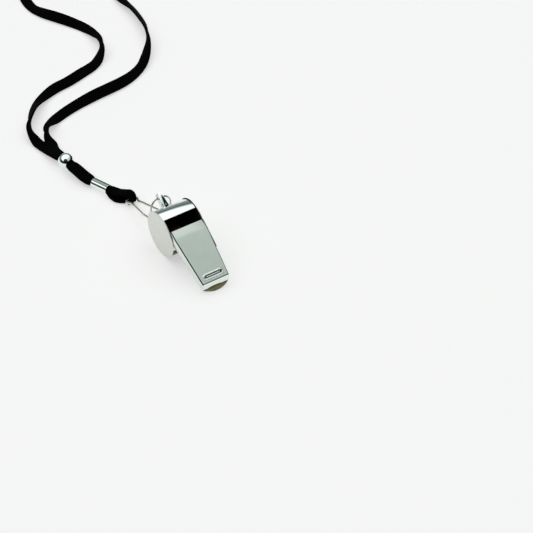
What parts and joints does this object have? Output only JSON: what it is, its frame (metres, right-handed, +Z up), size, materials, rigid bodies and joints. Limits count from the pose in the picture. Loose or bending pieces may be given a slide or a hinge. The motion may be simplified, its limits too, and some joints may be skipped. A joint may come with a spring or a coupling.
{
  "type": "training whistle",
  "caption": "Pressed-metal pea whistle with a jump ring, sprung wire hook and flat braided neck lanyard with crimp and slider bead.",
  "frame": {"origin": "on the surface the whistle lies on, under the middle of the whistle and its ring (the lanyard and its hook not counted)", "axes": "+X along the floor towards the mouth, +Y along the drum's axis, +Z up; the whistle is stored lying nose down on its disc rims and its jaw"},
  "size_m": [0.3352, 0.1337, 0.024],
  "materials": {
    "plated_sheet": "satin nickel-chrome plate on pressed brass sheet",
    "plated_strip": "polished plate on the rolled drum wall and the lug",
    "bare_brass": "dull unplated brass inside the windway",
    "cork": "granular cork",
    "spring_wire": "bright plated spring wire",
    "ring_wire": "plated round wire",
    "crimp_metal": "bright plated sleeve and bead",
    "braid": "matte black flat braid",
    "tie_band": "matt black soft band"
  },
  "bodies": {
    "whistle": {"left_side_disc": "plated_sheet", "right_side_disc": "plated_sheet", "drum_wall": "plated_strip", "mouthpiece_shell": "plated_sheet", "mouthpiece_base": "bare_brass", "windway_floor": "bare_brass", "lanyard_lug": "plated_strip"},
    "pea": {"pea": "cork"},
    "ring": {"jump_ring": "ring_wire"},
    "hook": {"hook_frame": "spring_wire"},
    "gate": {"hook_gate": "spring_wire"},
    "lanyard": {"cord_end_loop": "braid", "crimp_sleeve": "crimp_metal", "cord_left_strand": "braid", "cord_right_strand": "braid", "cord_coil": "braid", "coil_tie": "tie_band"},
    "bead": {"slider_bead": "crimp_metal"}
  },
  "joints": [
    {"name": "pea_orbit", "type": "hinge", "parent": "whistle", "child": "pea", "pos_m": [-0.00963, 0, 0.012], "axis": [0, 1, 0], "continuous": true},
    {"name": "ring_swing", "type": "hinge", "parent": "whistle", "child": "ring", "pos_m": [-0.02539, 0, 0.02002], "axis": [0, 1, 0], "range_deg": [0, 130]},
    {"name": "hook_swing", "type": "hinge", "parent": "ring", "child": "hook", "pos_m": [-0.02539, 0.0004, 0.00892], "axis": [0, 1, 0], "range_deg": [0, 50]},
    {"name": "gate_flex", "type": "hinge", "parent": "hook", "child": "gate", "pos_m": [-0.04592, -0.0048, 0.00348], "axis": [-0.3127, 0, 0.9499], "range_deg": [0, 6], "stiffness_Nm_per_rad": 0.05},
    {"name": "lanyard_swing", "type": "hinge", "parent": "hook", "child": "lanyard", "pos_m": [-0.0501, -0.0029, 0.0021], "axis": [0, 1, 0], "range_deg": [0, 40]},
    {"name": "bead_slide", "type": "slide", "parent": "lanyard", "child": "bead", "axis": [0.9903, 0.1392, 0], "range_m": [-0.002, 0.006]}
  ]
}
